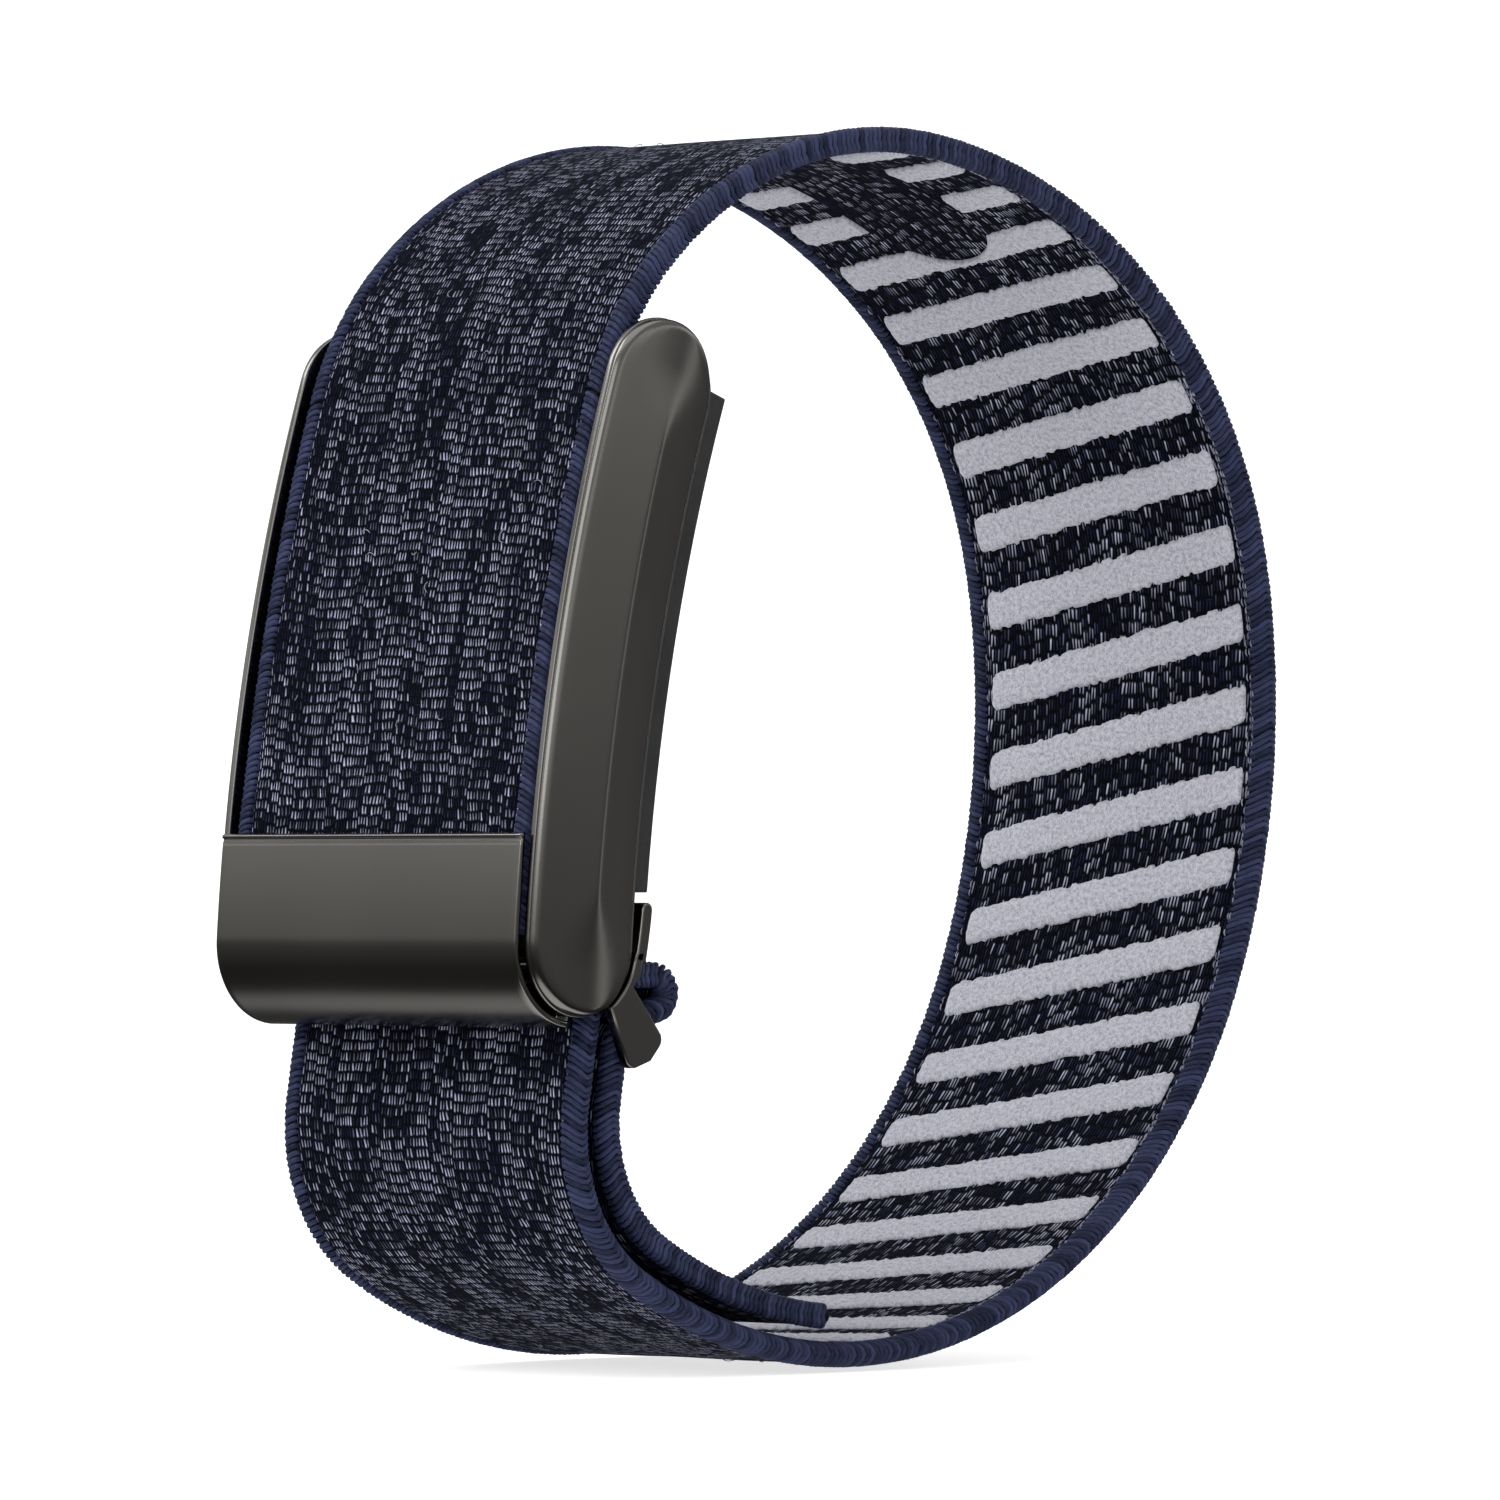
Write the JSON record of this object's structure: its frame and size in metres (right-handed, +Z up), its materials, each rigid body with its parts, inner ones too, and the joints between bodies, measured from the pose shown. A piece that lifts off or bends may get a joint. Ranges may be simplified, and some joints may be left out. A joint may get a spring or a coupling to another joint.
{
  "type": "fitness tracker band",
  "caption": "Wrist-worn fitness tracker: a screenless sensor pod in a metal cradle, on a heathered woven strap with a lift clasp and a slide adjuster",
  "frame": {"origin": "Middle of the wrist opening, on the wrist's axis, halfway across the strap", "axes": "+X runs along the wrist, across the strap; +Y points away from the tracker's outer face, into the wrist; +Z points up the tracker's length, and the ring is longest along it"},
  "size_m": [0.0284, 0.0653, 0.0733],
  "materials": {
    "strap_fabric": "heathered flat weave",
    "binding_thread": "overlocked thread",
    "plush_pile": "short brushed pile",
    "gunmetal": "satin dark coating",
    "pin_steel": "turned",
    "pod_plastic": "fine texture",
    "seal_rubber": "moulded",
    "window_glass": "polished",
    "lamp_resin": "clear moulded",
    "contact_gold": "plated",
    "circuit_board": "solder mask",
    "battery_foil": "foil pouch"
  },
  "bodies": {
    "band": {"strap_web": "strap_fabric", "binding_left": "binding_thread", "binding_right": "binding_thread", "grip_stripes": "plush_pile", "strap_front_panel": "strap_fabric", "front_bindings": "binding_thread", "cradle_tray": "gunmetal", "side_rail_left": "gunmetal", "side_rail_right": "gunmetal", "top_crossbar": "pin_steel", "clasp_pin": "pin_steel", "buckle_frame": "gunmetal", "buckle_bars": "pin_steel", "buckle_pin": "pin_steel"},
    "clasp": {"clasp_cover": "gunmetal", "strap_clamp_bar": "pin_steel", "clamp_rivets": "pin_steel"},
    "pod": {"pod_front_shell": "pod_plastic", "pod_back_cover": "pod_plastic", "pod_gasket": "seal_rubber", "optical_window": "window_glass", "light_baffle": "pod_plastic", "led_cluster": "lamp_resin", "photodiodes": "lamp_resin", "skin_temp_contact": "pin_steel", "charging_contacts": "contact_gold", "main_pcb": "circuit_board", "shield_can": "pin_steel", "battery_cell": "battery_foil", "battery_tape": "seal_rubber", "battery_flex": "circuit_board", "haptic_case": "pin_steel", "haptic_spring": "pin_steel", "antenna": "contact_gold"},
    "motor_mass": {"haptic_mass": "pin_steel"}
  },
  "joints": [
    {"name": "clasp_hinge", "type": "hinge", "parent": "band", "child": "clasp", "pos_m": [0, -0.0274, -0.0146], "axis": [1, 0, 0], "range_deg": [0, 65], "deforming": ["strap_front_panel", "front_bindings"]},
    {"name": "pod_release", "type": "slide", "parent": "band", "child": "pod", "axis": [0, 0.9956, -0.0941], "range_m": [0, 0.009]},
    {"name": "haptic_travel", "type": "slide", "parent": "pod", "child": "motor_mass", "axis": [0, -0.9763, 0.2164], "range_m": [-0.0002, 0.0002], "stiffness_N_per_m": 800}
  ]
}
